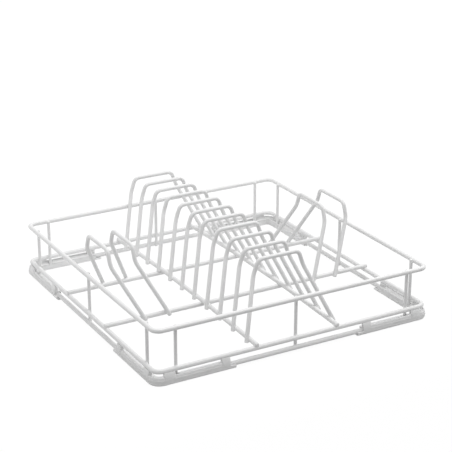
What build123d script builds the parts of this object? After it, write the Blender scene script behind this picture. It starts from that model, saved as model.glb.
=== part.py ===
"""Square dishwasher plate rack of coated round wire on four snap-on corner runners.

X runs along the front, Y to the back and Z up. The origin is at plan centre, level with the undersides of
the runners. Every wire is a node of its own. Where two wires are welded, the later one has a saddle cut
by the earlier one, so the two share a face and never the same space.
"""

import math
import os

from build123d import *

# Driving dimensions, in millimetres and degrees
WIRE = 6.0  # rings, cross wires and rails, diameter over the coating
UPRIGHT_WIRE = 4.2  # uprights
LOOP_WIRE = 5.4  # plate loops and side loops
WELD_SINK = 1.5  # depth one welded wire sinks into the other

RING_SIDE = 389.0  # side of the three rings, centre line to centre line
RING_BEND = 10.0  # bend radius of the ring corners, on the centre line
FLOOR_RISE = 12.8  # base ring to floor ring
RIM_RISE = 65.6  # base ring to rim
UPRIGHT_SETBACK = 28.5  # ring corner to the first upright
UPRIGHT_TIP = 2.0  # end of an upright above the rim's centre line

CROSS_GAUGE = 116.0  # between the two cross wires
RAIL_GAUGE = 116.0  # between the two rails
RAIL_BEND = 300.0  # bend radius of a rail where it leaves a cross wire

PLATE_LOOPS = 11  # loops across the rails
FIRST_LOOP = 15.25  # front of the floor ring to the feet of the first loop
RIM_GAP = 2.5  # between the last loop and the rim it leans over
SIDE_LOOPS = 2  # loops at each side
SIDE_PITCH = 34.0  # between the loops at one side
SIDE_GAP = 9.9  # between the outer side loop and the uprights
LOOP_RISE = 87.5  # carrier wire to the bar at the top of a loop
LOOP_LEAN = 26.0  # lean of the lower legs from upright
LOOP_LEAN_RISE = 68.0  # height of the leaning part
LOOP_SLANT = 19.5  # each leg closes in by this angle, in the plane of the loop
LOOP_TAIL = 3.0  # end of a leg below the centre of its carrier
LOOP_KNEE_BEND = 28.0  # bend radius between leaning and upright legs
LOOP_TOP_BEND = 9.0  # bend radius of the two top corners

RUNNER_ARM = 106.0  # ring corner to the tip of each arm
RUNNER_NOSE = 8.0  # low tip beyond the end post
RUNNER_OUTER = 2.5  # plastic outside the wire
RUNNER_INNER = 2.0  # plastic inside the wire
RUNNER_SOLE = 1.8  # plastic below the wire
RUNNER_RISE = 4.5  # top above the centre of the base ring
RUNNER_GRIP = 0.4  # each side of the slot reaches this far over the wire
RUNNER_EDGE = 3.2  # radius of the outer edge that slides
RUNNER_TOP_EDGE = 2.4  # radius of the outer edge at the top
RUNNER_LIP_EDGE = 0.8  # radius of the edges of the two lips
NOSE_LIFT = 1.4  # ramp under the tip
CORNER_POST = 14.0  # post beside the corner bend
END_POST = 11.0  # post before the nose
POST_TAPER = 1.9  # lean of a post's outer face towards its top
FIT = 0.1  # gap between plastic and wire
NOTCH_GAP = 0.6  # gap round an upright that passes the upper lip

# Levels and offsets that follow from them
R = WIRE / 2
UPRIGHT_R = UPRIGHT_WIRE / 2
LOOP_R = LOOP_WIRE / 2
SEAT = WIRE - WELD_SINK
UPRIGHT_SEAT = R + UPRIGHT_R - WELD_SINK
LOOP_SEAT = R + LOOP_R - WELD_SINK
HALF = RING_SIDE / 2
BASE_Z = R + RUNNER_SOLE
FLOOR_Z = BASE_Z + FLOOR_RISE
RIM_Z = BASE_Z + RIM_RISE
CROSS_Z = FLOOR_Z + SEAT
RAIL_TOP_Z = CROSS_Z + SEAT
CROSS_Y = CROSS_GAUGE / 2
RAIL_X = RAIL_GAUGE / 2
RAIL_SLOPE = SEAT / (HALF - CROSS_Y)
INSIDE = HALF - UPRIGHT_SEAT
LEAN = math.radians(LOOP_LEAN)
LEAN_OUT = LOOP_LEAN_RISE * math.tan(LEAN)


def along(section, path):
    """Solid of one section along straight runs and arcs, with the section's Y axis kept upright."""
    pieces = []
    for run in path.edges():
        start, ahead = run @ 0, run % 0
        face = Plane(start, Vector(0, 0, 1).cross(ahead), ahead) * section
        if run.geom_type == GeomType.LINE:
            pieces.append(extrude(face, amount=run.length, dir=ahead))
        else:
            axis = Axis(run.arc_center, (start - run.arc_center).cross(ahead))
            pieces.append(revolve(face, axis, math.degrees(run.length / run.radius)))
    return pieces[0] + pieces[1:]


def wire_along(path, radius=R):
    """Round wire whose centre follows the path."""
    return along(Circle(radius), path)


def ring(level):
    """Closed square ring with bent corners."""
    outline = RectangleRounded(RING_SIDE, RING_SIDE, RING_BEND).wire()
    return wire_along(Pos(0, 0, level) * outline)


def uprights(rings):
    """Twelve uprights inside the rings, named by side and place."""
    end = HALF - UPRIGHT_SETBACK
    foot = BASE_Z - R
    height = RIM_Z + UPRIGHT_TIP - foot
    rod = Cylinder(UPRIGHT_R, height, align=(Align.CENTER, Align.CENTER, Align.MIN))
    made = {}
    for turn, side in enumerate(("front", "right", "back", "left")):
        for place, shift in (("a", -end), ("b", 0), ("c", end)):
            stood = Rot(0, 0, 90 * turn) * Pos(shift, -INSIDE, foot) * rod
            made[f"upright_{side}_{place}"] = stood - rings
    return made


def cross_wire(y, floor_ring):
    """Straight wire from the left side of the floor ring to the right side."""
    reach = HALF + R
    return wire_along(Line((-reach, y, CROSS_Z), (reach, y, CROSS_Z))) - floor_ring


def rail_level(y):
    """Centre height of a rail, level between the cross wires and falling beyond them."""
    return RAIL_TOP_Z - RAIL_SLOPE * max(0, abs(y) - CROSS_Y)


def rail_tilt(y):
    """Slope of a rail as an angle about X."""
    if abs(y) < CROSS_Y:
        return 0
    return -math.copysign(math.degrees(math.atan(RAIL_SLOPE)), y)


def rail(x, below):
    """Wire from front to back, over both cross wires and down to the floor ring."""
    knots = [-HALF - R, -CROSS_Y, CROSS_Y, HALF + R]
    path = FilletPolyline([(x, y, rail_level(y)) for y in knots], radius=RAIL_BEND)
    return wire_along(path) - below


def loop(gauge):
    """Loop astride two carriers along Y, leaning to +Y, with Z zero at the centres of the carriers."""
    close = math.tan(math.radians(LOOP_SLANT))
    foot_x = gauge / 2 + LOOP_SEAT * math.hypot(1, close / math.cos(LEAN))
    knee_x = foot_x - close * LOOP_LEAN_RISE / math.cos(LEAN)
    top_x = knee_x - close * (LOOP_RISE - LOOP_LEAN_RISE)
    past = LOOP_TAIL / LOOP_LEAN_RISE
    toe = (foot_x + (foot_x - knee_x) * past, -LEAN_OUT * past, -LOOP_TAIL)
    half = [toe, (knee_x, LEAN_OUT, LOOP_LEAN_RISE), (top_x, LEAN_OUT, LOOP_RISE)]
    other = [(-x, y, z) for x, y, z in reversed(half)]
    bends = [LOOP_KNEE_BEND, LOOP_TOP_BEND, LOOP_TOP_BEND, LOOP_KNEE_BEND]
    return wire_along(FilletPolyline(half + other, radius=bends), LOOP_R)


def plate_loop_places():
    """Y of each plate loop, evenly spaced from the front to where the last one leans clear of the rim."""
    first = FIRST_LOOP - HALF
    lean_at_rim = (RIM_Z - CROSS_Z) * math.tan(LEAN + math.atan(RAIL_SLOPE))
    last = HALF - R - LOOP_R - RIM_GAP - lean_at_rim
    pitch = (last - first) / (PLATE_LOOPS - 1)
    return [first + pitch * step for step in range(PLATE_LOOPS)]


def plate_loops(carriers):
    """Row of loops across the rails, each square to the slope it stands on."""
    form = loop(RAIL_GAUGE)
    made = {}
    for number, y in enumerate(plate_loop_places(), 1):
        placed = Pos(0, y, rail_level(y)) * Rot(rail_tilt(y), 0, 0) * form
        made[f"plate_loop_{number:02d}"] = placed - carriers
    return made


def side_loops(carriers):
    """Loops astride the cross wires, left and right of the rails, leaning outward."""
    form = loop(CROSS_GAUGE)
    outer = INSIDE - UPRIGHT_R - LOOP_R - SIDE_GAP - LEAN_OUT
    made = {}
    for side, turn in (("right", -90), ("left", 90)):
        for number in range(SIDE_LOOPS):
            placed = Rot(0, 0, turn) * Pos(0, outer - number * SIDE_PITCH, CROSS_Z) * form
            made[f"side_loop_{side}_{number + 1}"] = placed - carriers
    return made


def runner_section():
    """Channel round the base ring, open to the inside: X inward, Y up, zero at the centre of the wire."""
    outer = -(R + RUNNER_OUTER)
    inner = R + RUNNER_INNER
    sole = -(R + RUNNER_SOLE)
    outline = [(outer, sole), (inner, sole), (inner, RUNNER_RISE), (outer, RUNNER_RISE)]
    rounds = [RUNNER_EDGE, RUNNER_LIP_EDGE, RUNNER_LIP_EDGE, RUNNER_TOP_EDGE]
    outside = make_face(FilletPolyline(outline, radius=rounds, close=True))
    way_in = Pos(inner, 0) * Rectangle(2 * inner, 2 * (R - RUNNER_GRIP))
    return outside - Circle(R + FIT) - way_in


def arm_bar(section, start, length):
    """Section extruded along the front arm of the front left runner, from a distance to its corner."""
    plane = Plane(origin=(start - HALF, -HALF, BASE_Z), x_dir=(0, 1, 0), z_dir=(1, 0, 0))
    return extrude(plane * section, amount=length)


def front_left_runner():
    """L-shaped runner under the front left corner, both arms alike."""
    tip = RUNNER_ARM - HALF
    knots = [(-HALF, tip, BASE_Z), (-HALF, -HALF, BASE_Z), (tip, -HALF, BASE_Z)]
    channel = along(runner_section(), FilletPolyline(knots, radius=RING_BEND))

    # Posts reach up from the outer side and cup the floor ring
    outer = -(R + RUNNER_OUTER)
    top = FLOOR_RISE - R / 2
    corners = [(outer, 0), (0, 0), (0, top), (outer + POST_TAPER, top), (outer, RUNNER_RISE)]
    post = Polygon(*corners, align=None) - Circle(R + FIT)
    post_end = RUNNER_ARM - RUNNER_NOSE
    posts = arm_bar(post, RING_BEND, CORNER_POST) + arm_bar(post, post_end - END_POST, END_POST)

    # The nose stays below the wire's centre and lifts off the floor at its tip
    reach = WIRE + RUNNER_RISE
    above = Pos(0, reach / 2) * Rectangle(2 * reach, reach)
    nose_cut = arm_bar(above, post_end, 2 * RUNNER_NOSE)
    side = Plane(origin=(post_end - HALF, -HALF - reach, 0), x_dir=(1, 0, 0), z_dir=(0, 1, 0))
    ramp = Polygon((0, 0), (RUNNER_NOSE, 0), (RUNNER_NOSE, -NOSE_LIFT), align=None)
    nose_cut += extrude(side * ramp, amount=2 * reach)

    # The upright nearest the corner passes through the upper lip
    room = UPRIGHT_R + NOTCH_GAP
    hole = Pos(UPRIGHT_SEAT, 0) * Rectangle(2 * room, 2 * (R + FIT))
    hole += Pos(UPRIGHT_SEAT, reach / 2) * Rectangle(2 * room, reach)
    notch = arm_bar(hole, UPRIGHT_SETBACK - room, 2 * room)
    seat = arm_bar(Pos(0, FLOOR_RISE) * Circle(R + FIT), 0, RUNNER_ARM)

    diagonal = Plane(origin=(-HALF, -HALF, 0), z_dir=(1, -1, 0))
    cuts = nose_cut + notch + seat
    whole = channel + posts + mirror(posts, about=diagonal)
    return whole - cuts - mirror(cuts, about=diagonal)


def runners():
    """The same runner turned to each corner."""
    form = front_left_runner()
    names = ("front_left", "front_right", "back_right", "back_left")
    made = {}
    for turn, name in enumerate(names):
        made[f"corner_runner_{name}"] = Rot(0, 0, 90 * turn) * form
    return made


def build():
    """All nodes by name."""
    base_ring, floor_ring, rim_ring = ring(BASE_Z), ring(FLOOR_Z), ring(RIM_Z)
    nodes = {"base_ring": base_ring, "floor_ring": floor_ring, "rim_ring": rim_ring}
    nodes.update(uprights([base_ring, floor_ring, rim_ring]))
    crosses = [cross_wire(-CROSS_Y, floor_ring), cross_wire(CROSS_Y, floor_ring)]
    rails = [rail(x, [floor_ring] + crosses) for x in (-RAIL_X, RAIL_X)]
    nodes.update(zip(("cross_wire_front", "cross_wire_back"), crosses))
    nodes.update(zip(("rail_left", "rail_right"), rails))
    nodes.update(plate_loops(crosses + rails))
    nodes.update(side_loops(crosses))
    nodes.update(runners())
    return nodes


os.makedirs("parts", exist_ok=True)
for node, solid in build().items():
    export_step(solid, f"parts/{node}.step")
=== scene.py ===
"""Looks of a square dishwasher plate rack: dip-coated wire, weld fillets and moulded corner runners.

Every wire is drawn again as a smooth tube along the centre line of its solid, with rounded ends, and
every weld gets the small fillet that a dip coat leaves in it. The runners are their solids with soft
edges, a thin outer wall and a web behind the slot. Lengths are in metres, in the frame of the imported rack.
"""

import math

import bpy
from mathutils import Matrix, Vector


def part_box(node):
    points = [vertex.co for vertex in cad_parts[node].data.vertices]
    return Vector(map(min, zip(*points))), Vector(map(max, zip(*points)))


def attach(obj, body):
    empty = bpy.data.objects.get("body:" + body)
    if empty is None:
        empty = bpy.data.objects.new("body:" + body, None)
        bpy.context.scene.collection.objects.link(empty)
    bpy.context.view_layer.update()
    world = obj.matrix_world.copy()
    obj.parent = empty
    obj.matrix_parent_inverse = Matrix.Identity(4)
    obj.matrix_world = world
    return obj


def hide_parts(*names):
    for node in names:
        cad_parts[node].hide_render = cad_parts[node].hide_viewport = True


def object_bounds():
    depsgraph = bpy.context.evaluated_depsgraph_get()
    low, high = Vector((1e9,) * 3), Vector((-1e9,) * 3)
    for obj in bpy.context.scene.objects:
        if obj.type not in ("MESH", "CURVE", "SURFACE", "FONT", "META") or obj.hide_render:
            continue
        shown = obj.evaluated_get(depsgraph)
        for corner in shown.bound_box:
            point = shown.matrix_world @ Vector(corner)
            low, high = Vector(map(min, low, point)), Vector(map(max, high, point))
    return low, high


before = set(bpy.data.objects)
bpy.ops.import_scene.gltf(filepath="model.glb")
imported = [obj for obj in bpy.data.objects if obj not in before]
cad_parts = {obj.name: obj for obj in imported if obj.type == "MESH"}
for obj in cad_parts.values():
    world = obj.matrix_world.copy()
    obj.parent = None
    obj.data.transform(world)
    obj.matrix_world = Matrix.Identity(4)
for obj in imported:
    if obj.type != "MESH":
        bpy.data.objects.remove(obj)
CAD_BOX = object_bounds()

bl_info = {
    "name": "Dishwasher plate rack",
    "version": (1, 0, 0),
    "blender": (4, 5, 0),
    "location": "View3D > Sidebar > Rack",
    "description": "Models the finished surfaces of a coated wire plate rack",
    "category": "Object",
}

BODY = "root"
UP = Vector((0, 0, 1))


def middle(node):
    """Centre of a node's box."""
    low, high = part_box(node)
    return (low + high) / 2


def nodes_named(start):
    """Names of the nodes that begin alike, in order."""
    return sorted(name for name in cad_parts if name.startswith(start))


def span(node, axis):
    """Length of a node's box along one axis."""
    low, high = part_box(node)
    return high[axis] - low[axis]


class RackSizes(bpy.types.PropertyGroup):
    """Sizes of the wires and of their finish."""

    wire: bpy.props.FloatProperty(
        name="Frame wire", description="Diameter of rings, cross wires and rails over the coat",
        default=span("cross_wire_front", 1), unit="LENGTH")
    upright_wire: bpy.props.FloatProperty(
        name="Upright wire", description="Diameter of the uprights over the coat",
        default=span("upright_front_b", 0), unit="LENGTH")
    loop_wire: bpy.props.FloatProperty(
        name="Loop wire", description="Diameter of the loops over the coat",
        default=0.0054, unit="LENGTH")
    ring_bend: bpy.props.FloatProperty(
        name="Ring bend", description="Bend radius of the ring corners",
        default=0.010, unit="LENGTH")
    rail_bend: bpy.props.FloatProperty(
        name="Rail bend", description="Bend radius of a rail beside a cross wire",
        default=0.300, unit="LENGTH")
    loop_rise: bpy.props.FloatProperty(
        name="Loop rise", description="Carrier wire to the top bar of a loop",
        default=0.0875, unit="LENGTH")
    lean_rise: bpy.props.FloatProperty(
        name="Lean rise", description="Height of a loop's leaning part",
        default=0.068, unit="LENGTH")
    lean: bpy.props.FloatProperty(
        name="Lean", description="Lean of a loop's lower legs",
        default=math.radians(26), subtype="ANGLE")
    slant: bpy.props.FloatProperty(
        name="Slant", description="Closing in of each leg",
        default=math.radians(19.5), subtype="ANGLE")
    tail: bpy.props.FloatProperty(
        name="Tail", description="End of a leg below its carrier's centre",
        default=0.003, unit="LENGTH")
    knee_bend: bpy.props.FloatProperty(
        name="Knee bend", description="Bend radius between leaning and upright legs",
        default=0.028, unit="LENGTH")
    top_bend: bpy.props.FloatProperty(
        name="Top bend", description="Bend radius of a loop's top corners",
        default=0.009, unit="LENGTH")
    tip: bpy.props.FloatProperty(
        name="Tip", description="Rounding of a coated wire end",
        default=0.0014, unit="LENGTH")
    weld_step: bpy.props.FloatProperty(
        name="Weld step", description="Fineness of the weld fillets",
        default=0.00045, unit="LENGTH")
    weld_flow: bpy.props.IntProperty(
        name="Weld flow", description="How far the coat has flowed into the welds", default=14)
    runner_edge: bpy.props.FloatProperty(
        name="Runner edge", description="Rounding of the moulded runner edges",
        default=0.00035, unit="LENGTH")
    runner_nose: bpy.props.FloatProperty(
        name="Runner nose", description="Low tip of a runner's arm",
        default=0.008, unit="LENGTH")
    runner_inner: bpy.props.FloatProperty(
        name="Runner inside", description="Plastic of a runner inside the wire",
        default=0.002, unit="LENGTH")
    wall_top: bpy.props.FloatProperty(
        name="Wall top", description="Top of a runner's thin outer wall over the floor",
        default=0.0114, unit="LENGTH")
    wall_thickness: bpy.props.FloatProperty(
        name="Wall thickness", description="Thickness of a runner's thin outer wall",
        default=0.0016, unit="LENGTH")
    wall_lean: bpy.props.FloatProperty(
        name="Wall lean", description="How far the top of that wall leans inward",
        default=0.0009, unit="LENGTH")


class RackFinish(bpy.types.PropertyGroup):
    """Colours of the rack and its floor, as sRGB hex values."""

    coat: bpy.props.StringProperty(
        name="Coat", description="Dip coat on the wires", default="EDEDED")
    runner: bpy.props.StringProperty(
        name="Runner", description="Moulded corner runners", default="F2F2F2")
    # The two floor colours are the ends of painted shade: darker in front, so the floor lights the rack's
    # front less than its back
    floor_shade_front: bpy.props.StringProperty(
        name="Floor in front", description="Studio floor before the rack", default="A6A6A6")
    floor_shade_back: bpy.props.StringProperty(
        name="Floor behind", description="Studio floor behind the rack", default="F9F9F9")


def sizes():
    """Sizes that are set for the scene."""
    return bpy.context.scene.rack_sizes


def finish():
    """Colours that are set for the scene."""
    return bpy.context.scene.rack_finish


def linear(hex_colour):
    """Linear RGBA of an sRGB hex colour."""
    channels = [int(hex_colour[i:i + 2], 16) / 255 for i in (0, 2, 4)]
    return [c / 12.92 if c <= 0.04045 else ((c + 0.055) / 1.055) ** 2.4 for c in channels] + [1]


def add_node(tree, kind, settings=None, **links):
    """New node with its settings, and each named input set to a value or linked from a socket."""
    node = tree.nodes.new(kind)
    for key, value in (settings or {}).items():
        setattr(node, key, value)
    for key, value in links.items():
        socket = node.inputs[key.replace("_", " ")]
        if isinstance(value, bpy.types.NodeSocket):
            tree.links.new(value, socket)
        else:
            socket.default_value = value
    return node


def per_mm(size):
    """Noise scale that gives features of about this size in millimetres."""
    return 1000 / size


# Places of the colour sockets on a Mix node
MIX_FIRST = 6
MIX_SECOND = 7
MIX_RESULT = 2

COAT_IOR = 1.53
COAT_ROUGHNESS = (0.30, 0.44)
COAT_CLOUD_MM = 35
COAT_THIN_TONE = 0.965
PEEL_MM = 2.5
PEEL_STRENGTH = 0.12
PEEL_DEPTH = 0.0002


def dip_coat_material():
    """White polyamide fused on hot wire: an even satin skin, a faint orange peel and soft highlights."""
    name = "white_polyamide_dip_coat"
    if name in bpy.data.materials:
        return bpy.data.materials[name]
    material = bpy.data.materials.new(name)
    material.use_nodes = True
    tree = material.node_tree
    shader = tree.nodes["Principled BSDF"]
    place = add_node(tree, "ShaderNodeTexCoord").outputs["Object"]

    # The coat is a little thicker and whiter in some stretches than in others
    cloud = add_node(tree, "ShaderNodeTexNoise", Vector=place, Scale=per_mm(COAT_CLOUD_MM), Detail=2.0)
    white = linear(finish().coat)
    thin = [c * COAT_THIN_TONE for c in white[:3]] + [1]
    tone = add_node(tree, "ShaderNodeMix", {"data_type": "RGBA"})
    tree.links.new(cloud.outputs["Fac"], tone.inputs["Factor"])
    tone.inputs[MIX_FIRST].default_value = thin
    tone.inputs[MIX_SECOND].default_value = white
    tree.links.new(tone.outputs[MIX_RESULT], shader.inputs["Base Color"])

    # Orange peel about 2.5 mm across, with finer grain left by the powder
    peel = add_node(
        tree, "ShaderNodeTexNoise", Vector=place, Scale=per_mm(PEEL_MM), Detail=3.0, Roughness=0.45)
    gloss = add_node(
        tree, "ShaderNodeMapRange", Value=peel.outputs["Fac"],
        To_Min=COAT_ROUGHNESS[0], To_Max=COAT_ROUGHNESS[1])
    tree.links.new(gloss.outputs["Result"], shader.inputs["Roughness"])
    bump = add_node(
        tree, "ShaderNodeBump", Height=peel.outputs["Fac"], Strength=PEEL_STRENGTH, Distance=PEEL_DEPTH)
    tree.links.new(bump.outputs["Normal"], shader.inputs["Normal"])
    shader.inputs["IOR"].default_value = COAT_IOR
    return material


RUNNER_IOR = 1.49
RUNNER_ROUGHNESS = (0.48, 0.62)
FLOW_MM = 18
FLOW_TONE = 0.95
GRAIN_MM = 0.7
GRAIN_STRENGTH = 0.15
GRAIN_DEPTH = 0.0001
GLOW_WEIGHT = 0.3
GLOW_DEPTH = 0.0015


def runner_material():
    """Pale moulded polypropylene: a dry matte skin, fine spark-eroded grain and a faint flow mottle."""
    name = "pale_moulded_polypropylene"
    if name in bpy.data.materials:
        return bpy.data.materials[name]
    material = bpy.data.materials.new(name)
    material.use_nodes = True
    tree = material.node_tree
    shader = tree.nodes["Principled BSDF"]
    place = add_node(tree, "ShaderNodeTexCoord").outputs["Object"]

    # Streaks and clouds where the melt ran from the gate
    flow = add_node(
        tree, "ShaderNodeTexNoise", Vector=place, Scale=per_mm(FLOW_MM), Detail=2.0, Distortion=0.6)
    pale = linear(finish().runner)
    shade = [c * FLOW_TONE for c in pale[:3]] + [1]
    tone = add_node(tree, "ShaderNodeMix", {"data_type": "RGBA"})
    tree.links.new(flow.outputs["Fac"], tone.inputs["Factor"])
    tone.inputs[MIX_FIRST].default_value = shade
    tone.inputs[MIX_SECOND].default_value = pale
    tree.links.new(tone.outputs[MIX_RESULT], shader.inputs["Base Color"])

    # The real grain is about 0.2 mm; it is drawn at 0.7 mm so that it shows
    grain = add_node(tree, "ShaderNodeTexNoise", Vector=place, Scale=per_mm(GRAIN_MM), Detail=2.0)
    dry = add_node(
        tree, "ShaderNodeMapRange", Value=grain.outputs["Fac"],
        To_Min=RUNNER_ROUGHNESS[0], To_Max=RUNNER_ROUGHNESS[1])
    tree.links.new(dry.outputs["Result"], shader.inputs["Roughness"])
    bump = add_node(
        tree, "ShaderNodeBump", Height=grain.outputs["Fac"],
        Strength=GRAIN_STRENGTH, Distance=GRAIN_DEPTH)
    tree.links.new(bump.outputs["Normal"], shader.inputs["Normal"])
    shader.inputs["IOR"].default_value = RUNNER_IOR

    # Unfilled polypropylene lets a little light through its thin walls
    shader.inputs["Subsurface Weight"].default_value = GLOW_WEIGHT
    shader.inputs["Subsurface Radius"].default_value = (1, 1, 1)
    shader.inputs["Subsurface Scale"].default_value = GLOW_DEPTH
    return material


# The floor's painted shade fades between these two places along Y, darker toward the front
FLOOR_SHADE_FADE = (-0.35, 0.25)
FLOOR_SIZE = 16
FLOOR_WHITE = 1.08
FLOOR_WHITE_SHARE = 0.88


def floor_material():
    """Pale floor that the camera sees as white, with a trace of the rack's shadow, and painted shade that
    darkens the light it throws up toward the front.
    """
    material = bpy.data.materials.new("white_studio_floor")
    material.use_nodes = True
    tree = material.node_tree
    tree.nodes.clear()

    # Painted shade: the floor's colour darkens toward the camera, so it throws up less light on the rack's
    # front than on its back
    place = add_node(tree, "ShaderNodeNewGeometry").outputs["Position"]
    depth = add_node(tree, "ShaderNodeSeparateXYZ", Vector=place).outputs["Y"]
    back = add_node(
        tree, "ShaderNodeMapRange", Value=depth, From_Min=FLOOR_SHADE_FADE[0], From_Max=FLOOR_SHADE_FADE[1])
    tone = add_node(tree, "ShaderNodeMix", {"data_type": "RGBA"})
    tree.links.new(back.outputs["Result"], tone.inputs["Factor"])
    tone.inputs[MIX_FIRST].default_value = linear(finish().floor_shade_front)
    tone.inputs[MIX_SECOND].default_value = linear(finish().floor_shade_back)
    painted = add_node(tree, "ShaderNodeBsdfDiffuse", Color=tone.outputs[MIX_RESULT])
    lit = add_node(tree, "ShaderNodeEmission", Color=(1, 1, 1, 1), Strength=FLOOR_WHITE)
    seen = seen_directly(tree)
    share = add_node(tree, "ShaderNodeMath", {"operation": "MULTIPLY"})
    tree.links.new(seen, share.inputs[0])
    share.inputs[1].default_value = FLOOR_WHITE_SHARE
    mix = add_node(tree, "ShaderNodeMixShader", Fac=share.outputs["Value"])
    tree.links.new(painted.outputs["BSDF"], mix.inputs[1])
    tree.links.new(lit.outputs["Emission"], mix.inputs[2])
    add_node(tree, "ShaderNodeOutputMaterial", Surface=mix.outputs["Shader"])
    return material


def seen_directly(tree):
    """Socket that is 1 for rays that show the background, straight, in a reflection or through glass."""
    path = add_node(tree, "ShaderNodeLightPath")
    seen = path.outputs["Is Camera Ray"]
    for other in ("Is Glossy Ray", "Is Transmission Ray"):
        both = add_node(tree, "ShaderNodeMath", {"operation": "MAXIMUM"})
        tree.links.new(seen, both.inputs[0])
        tree.links.new(path.outputs[other], both.inputs[1])
        seen = both.outputs["Value"]
    return seen


# Faces round a wire, and the bend that one step covers
RING_SEGMENTS = 32
DEGREES_PER_STEP = 6
TIP_STEPS = 4
MERGE_DISTANCE = 1e-6
SMOOTH_ANGLE = math.radians(40)


def deselect_all():
    """Leave edit mode and select nothing."""
    if bpy.context.mode != "OBJECT":
        bpy.ops.object.mode_set(mode="OBJECT")
    bpy.ops.object.select_all(action="DESELECT")


def turn_to(direction):
    """Rotation that stands Z along a direction."""
    return Vector(direction).to_track_quat("Z", "Y").to_euler()


def extrude_by(move):
    """Extrude what is selected along a straight run."""
    bpy.ops.mesh.extrude_region_move(TRANSFORM_OT_translate={"value": move, "orient_type": "GLOBAL"})


def follow(knots, bends):
    """Drag the outline being edited along straight runs between knots, bent round each inner knot."""
    here = knots[0]
    for before, corner, after, bend in zip(knots, knots[1:], knots[2:], bends):
        ahead = (corner - before).normalized()
        onward = (after - corner).normalized()
        turn = ahead.angle(onward)
        reach = bend * math.tan(turn / 2)
        entry = corner - ahead * reach
        axis = ahead.cross(onward).normalized()
        extrude_by(entry - here)
        steps = max(2, round(math.degrees(turn) / DEGREES_PER_STEP))
        bpy.ops.mesh.spin(steps=steps, angle=-turn, center=entry + axis.cross(ahead) * bend, axis=axis)
        here = corner + onward * reach
    extrude_by(knots[-1] - here)
    bpy.ops.mesh.select_all(action="SELECT")
    bpy.ops.mesh.remove_doubles(threshold=MERGE_DISTANCE)


def draw_strip(name, outline, knots, bends):
    """Moulded strip: an outline, given inward and up in metres, that follows level runs."""
    ahead = (knots[1] - knots[0]).normalized()
    inward = UP.cross(ahead)
    deselect_all()
    bpy.ops.mesh.primitive_circle_add(vertices=len(outline), radius=sizes().wire)
    strip = bpy.context.object
    strip.name = strip.data.name = name
    for vertex, (side, up) in zip(strip.data.vertices, outline):
        vertex.co = knots[0] + inward * side + UP * up
    bpy.ops.object.mode_set(mode="EDIT")
    bpy.ops.mesh.select_mode(type="EDGE")
    bpy.ops.mesh.select_all(action="SELECT")
    follow(knots, bends)
    bpy.ops.mesh.fill_holes(sides=0)
    bpy.ops.mesh.select_all(action="SELECT")
    bpy.ops.mesh.normals_make_consistent(inside=False)
    bpy.ops.object.mode_set(mode="OBJECT")
    return strip


def draw_wire(name, knots, bends, diameter, closed=False):
    """Tube along straight runs, bent round each inner knot, with rounded ends unless it is closed."""
    knots = [Vector(k) for k in knots]
    deselect_all()
    first_run = knots[1] - knots[0]
    bpy.ops.mesh.primitive_circle_add(
        vertices=RING_SEGMENTS, radius=diameter / 2, location=knots[0], rotation=turn_to(first_run))
    wire = bpy.context.object
    wire.name = wire.data.name = name
    bpy.ops.object.transform_apply(location=True, rotation=True, scale=True)
    bpy.ops.object.mode_set(mode="EDIT")
    bpy.ops.mesh.select_mode(type="EDGE")
    bpy.ops.mesh.select_all(action="SELECT")
    follow(knots, bends)
    if not closed:
        round_ends()
    bpy.ops.mesh.select_all(action="SELECT")
    bpy.ops.mesh.normals_make_consistent(inside=False)
    bpy.ops.object.mode_set(mode="OBJECT")
    bpy.ops.object.shade_smooth_by_angle(angle=SMOOTH_ANGLE)
    return wire


def round_ends():
    """Close both ends of the tube being edited and round their edges, as a coat does."""
    bpy.ops.mesh.fill_holes(sides=0)
    bpy.ops.mesh.select_mode(type="FACE")
    bpy.ops.mesh.select_all(action="DESELECT")
    bpy.ops.mesh.select_face_by_sides(number=4, type="GREATER")
    bpy.ops.mesh.bevel(offset=sizes().tip, segments=TIP_STEPS, affect="EDGES")


def finish_wire(piece, *nodes):
    """Coat a wire, make it ride with the rack and let it stand for its solids."""
    piece.data.materials.clear()
    piece.data.materials.append(dip_coat_material())
    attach(piece, BODY)
    if nodes:
        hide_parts(*nodes)
    return piece


class RACK_OT_rings(bpy.types.Operator):
    """Draw the base ring, the floor ring and the rim"""

    bl_idname = "rack.rings"
    bl_label = "Rings"

    def execute(self, context):
        for node in nodes_named(("base_ring", "floor_ring", "rim_ring")):
            level = middle(node).z
            half = (span(node, 0) - sizes().wire) / 2
            corners = [(half, -half), (half, half), (-half, half), (-half, -half)]
            knots = [(0, -half)] + corners + [(0, -half)]
            bends = [sizes().ring_bend] * len(corners)
            knots = [(x, y, level) for x, y in knots]
            finish_wire(draw_wire("coated_" + node, knots, bends, sizes().wire, closed=True), node)
        return {"FINISHED"}


class RACK_OT_uprights(bpy.types.Operator):
    """Draw the uprights between the rings"""

    bl_idname = "rack.uprights"
    bl_label = "Uprights"

    def execute(self, context):
        for node in nodes_named("upright_"):
            low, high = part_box(node)
            centre = middle(node)
            ends = [(centre.x, centre.y, z) for z in (low.z, high.z)]
            finish_wire(draw_wire("coated_" + node, ends, [], sizes().upright_wire), node)
        return {"FINISHED"}


def rail_knots(node):
    """Points of a rail: over the cross wires, and down to the floor ring at both ends."""
    x = middle(node).x
    cross_y = middle("cross_wire_back").y
    top = wire_level(node)
    seat = top - wire_level("cross_wire_back")
    end_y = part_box("floor_ring")[1].y
    ring_y = end_y - sizes().wire / 2
    end_z = top - seat * (end_y - cross_y) / (ring_y - cross_y)
    return [(x, -end_y, end_z), (x, -cross_y, top), (x, cross_y, top), (x, end_y, end_z)]


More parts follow.
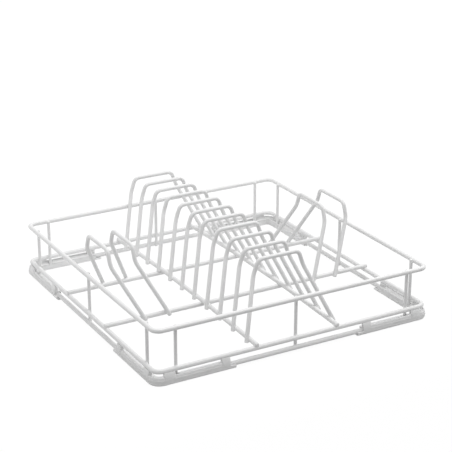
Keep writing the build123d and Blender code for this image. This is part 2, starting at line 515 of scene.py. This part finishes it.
class RACK_OT_floor_wires(bpy.types.Operator):
    """Draw the cross wires and the rails of the floor"""

    bl_idname = "rack.floor_wires"
    bl_label = "Floor wires"

    def execute(self, context):
        for node in nodes_named("cross_wire_"):
            low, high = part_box(node)
            centre = middle(node)
            ends = [(x, centre.y, high.z - sizes().wire / 2) for x in (low.x, high.x)]
            finish_wire(draw_wire("coated_" + node, ends, [], sizes().wire), node)
        for node in nodes_named("rail_"):
            bends = [sizes().rail_bend] * 2
            finish_wire(draw_wire("coated_" + node, rail_knots(node), bends, sizes().wire), node)
        return {"FINISHED"}


def weld_sink():
    """Depth that one welded wire sinks into the other."""
    return sizes().wire - rail_knots("rail_left")[1][2] + wire_level("cross_wire_back")


def wire_level(node):
    """Height of a straight wire's centre, measured down from its top."""
    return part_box(node)[1].z - sizes().wire / 2


def lean_out():
    """How far a loop's top bar stands out from its feet."""
    return sizes().lean_rise * math.tan(sizes().lean)


def foot_spread(gauge):
    """Half the distance between a loop's legs, level with the centres of its carriers."""
    close = math.tan(sizes().slant) / math.cos(sizes().lean)
    seat = (sizes().wire + sizes().loop_wire) / 2 - weld_sink()
    return gauge / 2 + seat * math.hypot(1, close)


def loop_knots(gauge):
    """Points of a loop astride two carriers along Y, leaning to +Y, with Z zero at their centres."""
    s = sizes()
    close = math.tan(s.slant)
    foot = foot_spread(gauge)
    knee = foot - close * s.lean_rise / math.cos(s.lean)
    top = knee - close * (s.loop_rise - s.lean_rise)
    past = s.tail / s.lean_rise
    toe = Vector((foot + (foot - knee) * past, -lean_out() * past, -s.tail))
    half = [toe, Vector((knee, lean_out(), s.lean_rise)), Vector((top, lean_out(), s.loop_rise))]
    return half + [Vector((-k.x, k.y, k.z)) for k in reversed(half)]


def draw_loop(node, gauge, place):
    """Loop of a node, drawn at its place."""
    bends = [sizes().knee_bend, sizes().top_bend, sizes().top_bend, sizes().knee_bend]
    knots = [place @ k for k in loop_knots(gauge)]
    return finish_wire(draw_wire("coated_" + node, knots, bends, sizes().loop_wire), node)


def rail_gauge():
    """Distance between the two rails."""
    return middle("rail_right").x - middle("rail_left").x


def cross_gauge():
    """Distance between the two cross wires."""
    return middle("cross_wire_back").y - middle("cross_wire_front").y


def plate_loop_place(node):
    """Place of a plate loop, square to the slope of the rails where it stands, found from its toes."""
    knots = rail_knots("rail_left")
    cross_y, top_z = knots[2][1], knots[2][2]
    slope = (top_z - knots[3][2]) / (knots[3][1] - cross_y)
    toe, knee = loop_knots(rail_gauge())[:2]
    for tilt in (0, -math.atan(slope), math.atan(slope)):
        turned = Matrix.Rotation(tilt, 3, "X")
        ahead = (turned @ (knee - toe)).normalized()
        front = (turned @ toe).y - sizes().loop_wire / 2 * math.sqrt(1 - ahead.y ** 2)
        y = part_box(node)[0].y - front
        fits = abs(y) < cross_y if tilt == 0 else abs(y) >= cross_y and y * tilt < 0
        if fits:
            z = top_z - slope * max(0, abs(y) - cross_y)
            return Matrix.Translation((0, y, z)) @ Matrix.Rotation(tilt, 4, "X")
    raise RuntimeError(f"{node} stands nowhere on the rails")


def side_loop_place(node):
    """Place of a side loop on the cross wires, found from its top bar."""
    low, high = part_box(node)
    out = 1 if low.x + high.x > 0 else -1
    bar_x = high.x if out > 0 else -low.x
    shift = bar_x - sizes().loop_wire / 2 - lean_out()
    turn = Matrix.Rotation(-out * math.pi / 2, 4, "Z")
    return Matrix.Translation((out * shift, 0, wire_level("cross_wire_back"))) @ turn


class RACK_OT_plate_loops(bpy.types.Operator):
    """Draw the row of plate loops"""

    bl_idname = "rack.plate_loops"
    bl_label = "Plate loops"

    def execute(self, context):
        for node in nodes_named("plate_loop_"):
            draw_loop(node, rail_gauge(), plate_loop_place(node))
        return {"FINISHED"}


class RACK_OT_side_loops(bpy.types.Operator):
    """Draw the side loops"""

    bl_idname = "rack.side_loops"
    bl_label = "Side loops"

    def execute(self, context):
        for node in nodes_named("side_loop_"):
            draw_loop(node, cross_gauge(), side_loop_place(node))
        return {"FINISHED"}


# Length of wire beside a weld that its fillet covers, and the end of a wire that it leaves bare
WELD_REACH = 0.0075
TIP_SPARE = 0.0016
WELD_FLOW_FACTOR = 0.5
WELD_FACES_KEPT = 0.25


def weld_form(name, rods):
    """Fillet of a weld: two short rods fused, and their crease filled as a fluid coat fills it."""
    parts = []
    for start, end, diameter in rods:
        start, end = Vector(start), Vector(end)
        deselect_all()
        bpy.ops.mesh.primitive_cylinder_add(
            vertices=RING_SEGMENTS, radius=diameter / 2, depth=(end - start).length,
            location=(start + end) / 2, rotation=turn_to(end - start))
        bpy.ops.object.transform_apply(location=True, rotation=True, scale=True)
        parts.append(bpy.context.object)
    for part in parts:
        part.select_set(True)
    bpy.ops.object.join()
    form = bpy.context.object
    form.name = form.data.name = name
    fuse = form.modifiers.new("fuse", "REMESH")
    fuse.mode = "VOXEL"
    fuse.voxel_size = sizes().weld_step
    flow = form.modifiers.new("flow", "SMOOTH")
    flow.factor = WELD_FLOW_FACTOR
    flow.iterations = sizes().weld_flow
    thin = form.modifiers.new("thin", "DECIMATE")
    thin.ratio = WELD_FACES_KEPT
    for modifier in (fuse, flow, thin):
        bpy.ops.object.modifier_apply(modifier=modifier.name)
    return form


def set_welds(name, form_places):
    """One piece of weld fillets, with a copy of a form at each of its places."""
    deselect_all()
    copies = []
    for form, place in form_places:
        copy = bpy.data.objects.new(name, form.data.copy())
        copy.data.transform(place)
        bpy.context.scene.collection.objects.link(copy)
        copies.append(copy)
    for copy in copies:
        copy.select_set(True)
    bpy.context.view_layer.objects.active = copies[0]
    bpy.ops.object.join()
    piece = bpy.context.object
    bpy.ops.object.mode_set(mode="EDIT")
    bpy.ops.mesh.select_all(action="SELECT")
    bpy.ops.mesh.normals_make_consistent(inside=False)
    bpy.ops.object.mode_set(mode="OBJECT")
    bpy.ops.object.shade_smooth()
    piece.name = piece.data.name = name
    return finish_wire(piece)


def crossing_form(name, diameter, past):
    """Weld of a wire along Y on a frame wire along X, where the upper one ends a distance past it."""
    seat = (sizes().wire + diameter) / 2 - weld_sink()
    below = ((-WELD_REACH, 0, 0), (WELD_REACH, 0, 0), sizes().wire)
    above = ((0, -WELD_REACH, seat), (0, past, seat), diameter)
    return weld_form(name, [below, above])


def foot_form(name, gauge):
    """Weld of a loop's foot on the carrier at its +X side, in the frame of the loop."""
    toe, knee = loop_knots(gauge)[:2]
    ahead = (knee - toe).normalized()
    carrier = [(gauge / 2, y, 0) for y in (-WELD_REACH, WELD_REACH)]
    leg = [toe + ahead * TIP_SPARE, toe + ahead * (sizes().tail + WELD_REACH)]
    return weld_form(name, [(*carrier, sizes().wire), (*leg, sizes().loop_wire)])


def facing(place, along, out):
    """Matrix that puts a crossing form at a place, with its frame wire along and its seat out."""
    along, out = Vector(along), Vector(out)
    across = out.cross(along)
    turn = Matrix((along, across, out)).transposed().to_4x4()
    return Matrix.Translation(place) @ turn


def drop_forms(*forms):
    """Remove the forms that copies were made from."""
    for form in forms:
        bpy.data.objects.remove(form)


class RACK_OT_upright_welds(bpy.types.Operator):
    """Fill the welds of the uprights"""

    bl_idname = "rack.upright_welds"
    bl_label = "Upright welds"

    def execute(self, context):
        s = sizes()
        half = (span("rim_ring", 0) - s.wire) / 2
        through = crossing_form("through_weld", s.upright_wire, WELD_REACH)
        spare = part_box("upright_front_b")[1].z - middle("rim_ring").z - TIP_SPARE
        ended = crossing_form("ended_weld", s.upright_wire, spare)
        rings = (("base_ring", ended, -UP), ("floor_ring", through, UP), ("rim_ring", ended, UP))
        places = []
        for node in nodes_named("upright_"):
            centre = middle(node)
            if abs(centre.x) > abs(centre.y):
                inward = Vector((-math.copysign(1, centre.x), 0, 0))
                on_ring = Vector((math.copysign(half, centre.x), centre.y, 0))
            else:
                inward = Vector((0, -math.copysign(1, centre.y), 0))
                on_ring = Vector((centre.x, math.copysign(half, centre.y), 0))
            for ring, form, up in rings:
                at = on_ring + UP * middle(ring).z
                places.append((form, facing(at, up.cross(inward), inward)))
        set_welds("upright_weld_fillets", places)
        drop_forms(through, ended)
        return {"FINISHED"}


class RACK_OT_floor_welds(bpy.types.Operator):
    """Fill the welds of the cross wires and the rails"""

    bl_idname = "rack.floor_welds"
    bl_label = "Floor welds"

    def execute(self, context):
        s = sizes()
        half = (span("floor_ring", 0) - s.wire) / 2
        through = crossing_form("through_weld", s.wire, WELD_REACH)
        ended = crossing_form("ended_weld", s.wire, s.wire / 2 - TIP_SPARE)
        level = middle("floor_ring").z
        places = []
        for end in (-1, 1):
            for node in nodes_named("cross_wire_"):
                at = (end * half, middle(node).y, level)
                places.append((ended, facing(at, (0, -end, 0), UP)))
            for node in nodes_named("rail_"):
                at = (middle(node).x, end * half, level)
                places.append((ended, facing(at, (end, 0, 0), UP)))
        for rail in nodes_named("rail_"):
            for cross in nodes_named("cross_wire_"):
                at = (middle(rail).x, middle(cross).y, wire_level(cross))
                places.append((through, facing(at, (1, 0, 0), UP)))
        set_welds("floor_weld_fillets", places)
        drop_forms(through, ended)
        return {"FINISHED"}


class RACK_OT_loop_welds(bpy.types.Operator):
    """Fill the welds of all the loops' feet"""

    bl_idname = "rack.loop_welds"
    bl_label = "Loop welds"

    def execute(self, context):
        flip = Matrix.Diagonal((-1, 1, 1, 1))
        kinds = (
            ("plate_loop", rail_gauge(), plate_loop_place),
            ("side_loop", cross_gauge(), side_loop_place))
        for kind, gauge, place_of in kinds:
            foot = foot_form("foot_weld", gauge)
            places = []
            for node in nodes_named(kind + "_"):
                place = place_of(node)
                places += [(foot, place), (foot, place @ flip)]
            set_welds(kind + "_weld_fillets", places)
            drop_forms(foot)
        return {"FINISHED"}


# Corners in the order that a quarter turn to the left gives them
RUNNER_CORNERS = ("front_left", "front_right", "back_right", "back_left")
RUNNER_EDGE_STEPS = 2
FLAT_ANGLE = math.radians(1)

# The wall and the web lie just inside the moulding's own faces
WALL_INSET = 0.0001
WALL_TOP_STEPS = 6
WEB_INSET = 0.0003
WEB_DEPTH = 0.0012


def runner_path(corner):
    """Level runs along the base ring from one runner nose to the other, round a corner."""
    half = (span("base_ring", 0) - sizes().wire) / 2
    node = "corner_runner_" + RUNNER_CORNERS[0]
    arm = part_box(node)[1].x + half - sizes().runner_nose - WALL_INSET
    quarter = math.tau / len(RUNNER_CORNERS)
    turn = Matrix.Rotation(quarter * RUNNER_CORNERS.index(corner), 4, "Z")
    ends = (-half, arm - half), (-half, -half), (arm - half, -half)
    return [turn @ Vector((x, y, middle("base_ring").z)) for x, y in ends]


def runner_wall_outline():
    """Thin outer wall that stands on a runner and leans in a little, with a round top."""
    s = sizes()
    level = middle("base_ring").z
    ring_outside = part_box("base_ring")[1].x
    face = -(CAD_BOX[1].x - ring_outside + s.wire / 2) + WALL_INSET
    radius = s.wall_thickness / 2
    top = s.wall_top - level - radius
    outline = [(face + s.wall_thickness, 0), (face, 0)]
    for step in range(WALL_TOP_STEPS + 1):
        turn = math.pi * step / WALL_TOP_STEPS
        across = face + s.wall_lean + radius - radius * math.cos(turn)
        outline.append((across, top + radius * math.sin(turn)))
    return outline


def runner_web_outline():
    """Web between the two lips of a runner, just behind their faces."""
    radius = sizes().wire / 2
    face = radius + sizes().runner_inner - WEB_INSET
    back = face - WEB_DEPTH
    return [(back, -radius), (face, -radius), (face, radius), (back, radius)]


class RACK_OT_corner_runners(bpy.types.Operator):
    """Mould the corner runners with soft edges, an outer wall and a web"""

    bl_idname = "rack.corner_runners"
    bl_label = "Corner runners"

    def execute(self, context):
        for node in nodes_named("corner_runner_"):
            piece = bpy.data.objects.new("moulded_" + node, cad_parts[node].data.copy())
            context.scene.collection.objects.link(piece)
            deselect_all()
            piece.select_set(True)
            context.view_layer.objects.active = piece
            bpy.ops.object.mode_set(mode="EDIT")
            bpy.ops.mesh.select_all(action="SELECT")
            bpy.ops.mesh.remove_doubles(threshold=MERGE_DISTANCE)
            bpy.ops.mesh.dissolve_limited(angle_limit=FLAT_ANGLE)
            bpy.ops.object.mode_set(mode="OBJECT")
            edge = piece.modifiers.new("soft edge", "BEVEL")
            edge.width = sizes().runner_edge
            edge.segments = RUNNER_EDGE_STEPS
            edge.limit_method = "ANGLE"
            edge.angle_limit = SMOOTH_ANGLE
            bpy.ops.object.modifier_apply(modifier=edge.name)
            path = runner_path(node.removeprefix("corner_runner_"))
            bends = [sizes().ring_bend]
            strips = [
                draw_strip("runner_wall", runner_wall_outline(), path, bends),
                draw_strip("runner_web", runner_web_outline(), path, bends)]
            deselect_all()
            for part in strips + [piece]:
                part.select_set(True)
            context.view_layer.objects.active = piece
            bpy.ops.object.join()
            bpy.ops.object.shade_smooth_by_angle(angle=SMOOTH_ANGLE)
            piece.data.materials.clear()
            piece.data.materials.append(runner_material())
            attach(piece, BODY)
            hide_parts(node)
        return {"FINISHED"}


# Name, place, side and watts of each soft light, and the strength of the light from all round
SOFTBOXES = (
    ("overhead_softbox", (0.6, -0.1, 1.9), 2.8, 45),
    ("left_softbox", (-2.0, 0.3, 0.9), 1.5, 7),
)
SURROUND_LIGHT = 0.36


class RACK_OT_stage(bpy.types.Operator):
    """Set the floor, the lights and the camera"""

    bl_idname = "rack.stage"
    bl_label = "Stage"

    def execute(self, context):
        deselect_all()
        bpy.ops.mesh.primitive_plane_add(size=FLOOR_SIZE)
        floor = context.object
        floor.name = "studio_floor"
        floor.data.materials.append(floor_material())
        light_world(context.scene)
        for softbox in SOFTBOXES:
            add_softbox(*softbox)
        place_camera(context.scene)
        context.scene.view_settings.view_transform = "Standard"
        return {"FINISHED"}


def light_world(scene):
    """Even white surround: pure white where the camera sees it, dimmer as light."""
    world = bpy.data.worlds.new("white_surround")
    scene.world = world
    world.use_nodes = True
    tree = world.node_tree
    background = tree.nodes["Background"]
    background.inputs["Color"].default_value = (1, 1, 1, 1)
    level = add_node(
        tree, "ShaderNodeMapRange", Value=seen_directly(tree), To_Min=SURROUND_LIGHT, To_Max=1.0)
    tree.links.new(level.outputs["Result"], background.inputs["Strength"])


def add_softbox(name, place, size, power):
    """Square soft light that faces the rack."""
    aim = -Vector(place)
    turn = aim.to_track_quat("-Z", "Y").to_euler()
    bpy.ops.object.light_add(type="AREA", location=place, rotation=turn)
    light = bpy.context.object
    light.name = name
    light.data.size = size
    light.data.energy = power


CAMERA_AZIMUTH = math.radians(-29.33)
CAMERA_ELEVATION = math.radians(21.44)
CAMERA_DISTANCE = 1.8542
CAMERA_AIM = Vector((0.00915, 0, 0.09668))
CAMERA_LENS = 111.4
CAMERA_SENSOR = 36


def place_camera(scene):
    """Camera at the photograph's angle."""
    level = math.cos(CAMERA_ELEVATION)
    back = Vector((
        math.sin(CAMERA_AZIMUTH) * level, -math.cos(CAMERA_AZIMUTH) * level, math.sin(CAMERA_ELEVATION)))
    bpy.ops.object.camera_add(location=CAMERA_AIM + back * CAMERA_DISTANCE)
    camera = bpy.context.object
    camera.name = "photo_camera"
    camera.rotation_euler = (-back).to_track_quat("-Z", "Y").to_euler()
    camera.data.lens = CAMERA_LENS
    camera.data.sensor_width = CAMERA_SENSOR
    scene.camera = camera


class RACK_PT_panel(bpy.types.Panel):
    """Steps that finish the rack"""

    bl_idname = "RACK_PT_panel"
    bl_label = "Dishwasher plate rack"
    bl_space_type = "VIEW_3D"
    bl_region_type = "UI"
    bl_category = "Rack"

    def draw(self, context):
        for name in RackSizes.__annotations__:
            self.layout.prop(context.scene.rack_sizes, name)
        for name in RackFinish.__annotations__:
            self.layout.prop(context.scene.rack_finish, name)
        for step in STEPS:
            self.layout.operator(step.bl_idname)


STEPS = (
    RACK_OT_rings,
    RACK_OT_uprights,
    RACK_OT_floor_wires,
    RACK_OT_plate_loops,
    RACK_OT_side_loops,
    RACK_OT_upright_welds,
    RACK_OT_floor_welds,
    RACK_OT_loop_welds,
    RACK_OT_corner_runners,
    RACK_OT_stage,
)
CLASSES = (RackSizes, RackFinish, *STEPS, RACK_PT_panel)


def register():
    for cls in CLASSES:
        bpy.utils.register_class(cls)
    bpy.types.Scene.rack_sizes = bpy.props.PointerProperty(type=RackSizes)
    bpy.types.Scene.rack_finish = bpy.props.PointerProperty(type=RackFinish)


def unregister():
    del bpy.types.Scene.rack_finish
    del bpy.types.Scene.rack_sizes
    for cls in reversed(CLASSES):
        bpy.utils.unregister_class(cls)


def main():
    register()
    bpy.ops.rack.rings()
    bpy.ops.rack.uprights()
    bpy.ops.rack.floor_wires()
    bpy.ops.rack.plate_loops()
    bpy.ops.rack.side_loops()
    bpy.ops.rack.upright_welds()
    bpy.ops.rack.floor_welds()
    bpy.ops.rack.loop_welds()
    bpy.ops.rack.corner_runners()
    bpy.ops.rack.stage()


if __name__ == "__main__":
    main()
